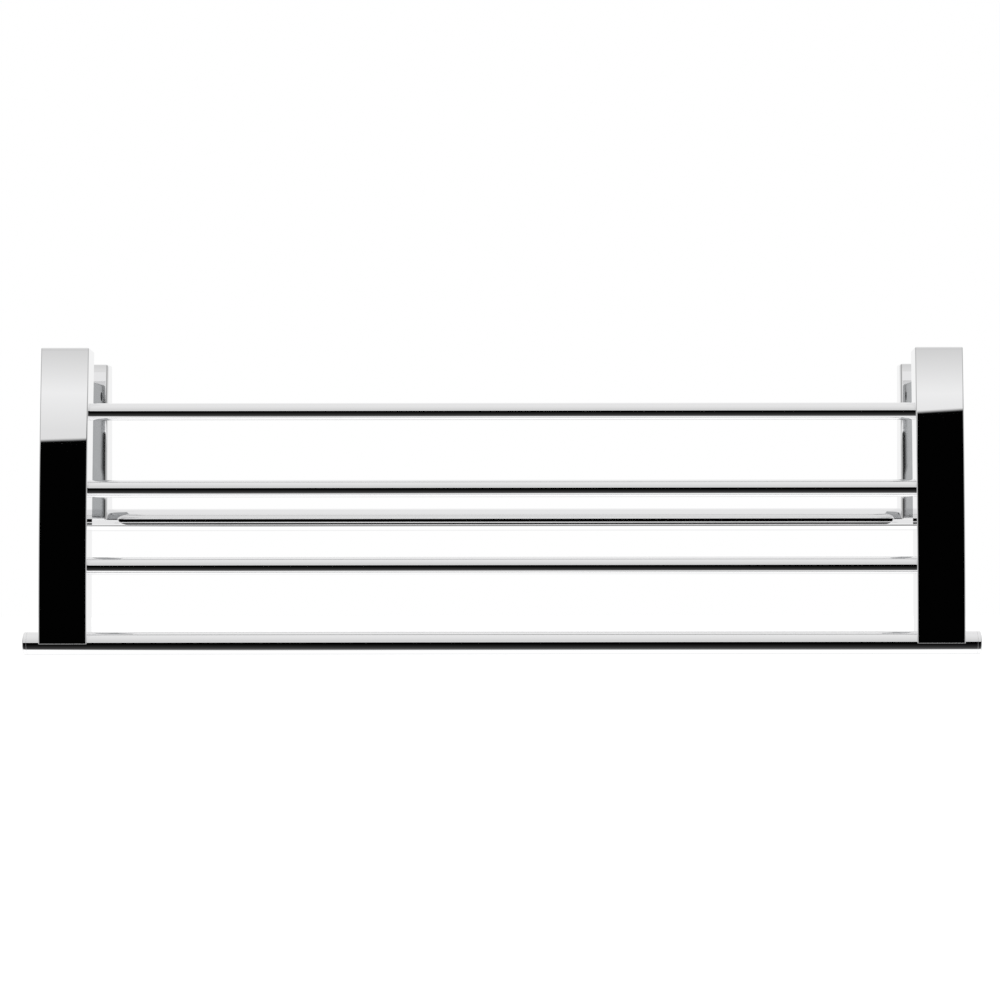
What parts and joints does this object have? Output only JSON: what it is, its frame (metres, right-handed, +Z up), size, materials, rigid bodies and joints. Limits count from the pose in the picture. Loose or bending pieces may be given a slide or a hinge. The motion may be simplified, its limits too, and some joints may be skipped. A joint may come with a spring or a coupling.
{
  "type": "towel rack",
  "caption": "Wall-hung towel rack: curved chrome bands on wall arms carry towel bars and a front rail; a rear rail runs along the wall.",
  "frame": {"origin": "centre of the four wall-screw holes, on the wall plane", "axes": "+X to the right as seen from the room, +Y into the wall, +Z up; the rack stands out towards -Y"},
  "size_m": [0.656, 0.088, 0.211],
  "materials": {
    "band_chrome": "polished chrome plate on brass",
    "cast_chrome": "polished chrome plate on a zinc casting",
    "satin_chrome": "satin chrome plate on a zinc casting",
    "tube_chrome": "polished chrome plate on brass tube",
    "bracket_steel": "zinc-plated steel",
    "plug_brass": "turned brass",
    "screw_steel": "stainless steel"
  },
  "bodies": {
    "root": {"bracket_left": "bracket_steel", "bracket_right": "bracket_steel", "wall_block_left": "cast_chrome", "wall_block_right": "cast_chrome", "arm_left": "satin_chrome", "arm_right": "satin_chrome", "band_left": "band_chrome", "band_right": "band_chrome", "top_bar": "tube_chrome", "middle_bar": "tube_chrome", "lower_bar": "tube_chrome", "front_rail": "tube_chrome", "rear_rail": "tube_chrome", "front_cap_left": "tube_chrome", "front_cap_right": "tube_chrome", "rear_cap_left": "tube_chrome", "rear_cap_right": "tube_chrome", "bar_plugs": "plug_brass", "rail_plugs": "plug_brass", "rail_screws": "screw_steel", "band_screws": "screw_steel", "arm_grub_screws": "screw_steel", "bar_grub_screws": "screw_steel"}
  },
  "joints": []
}
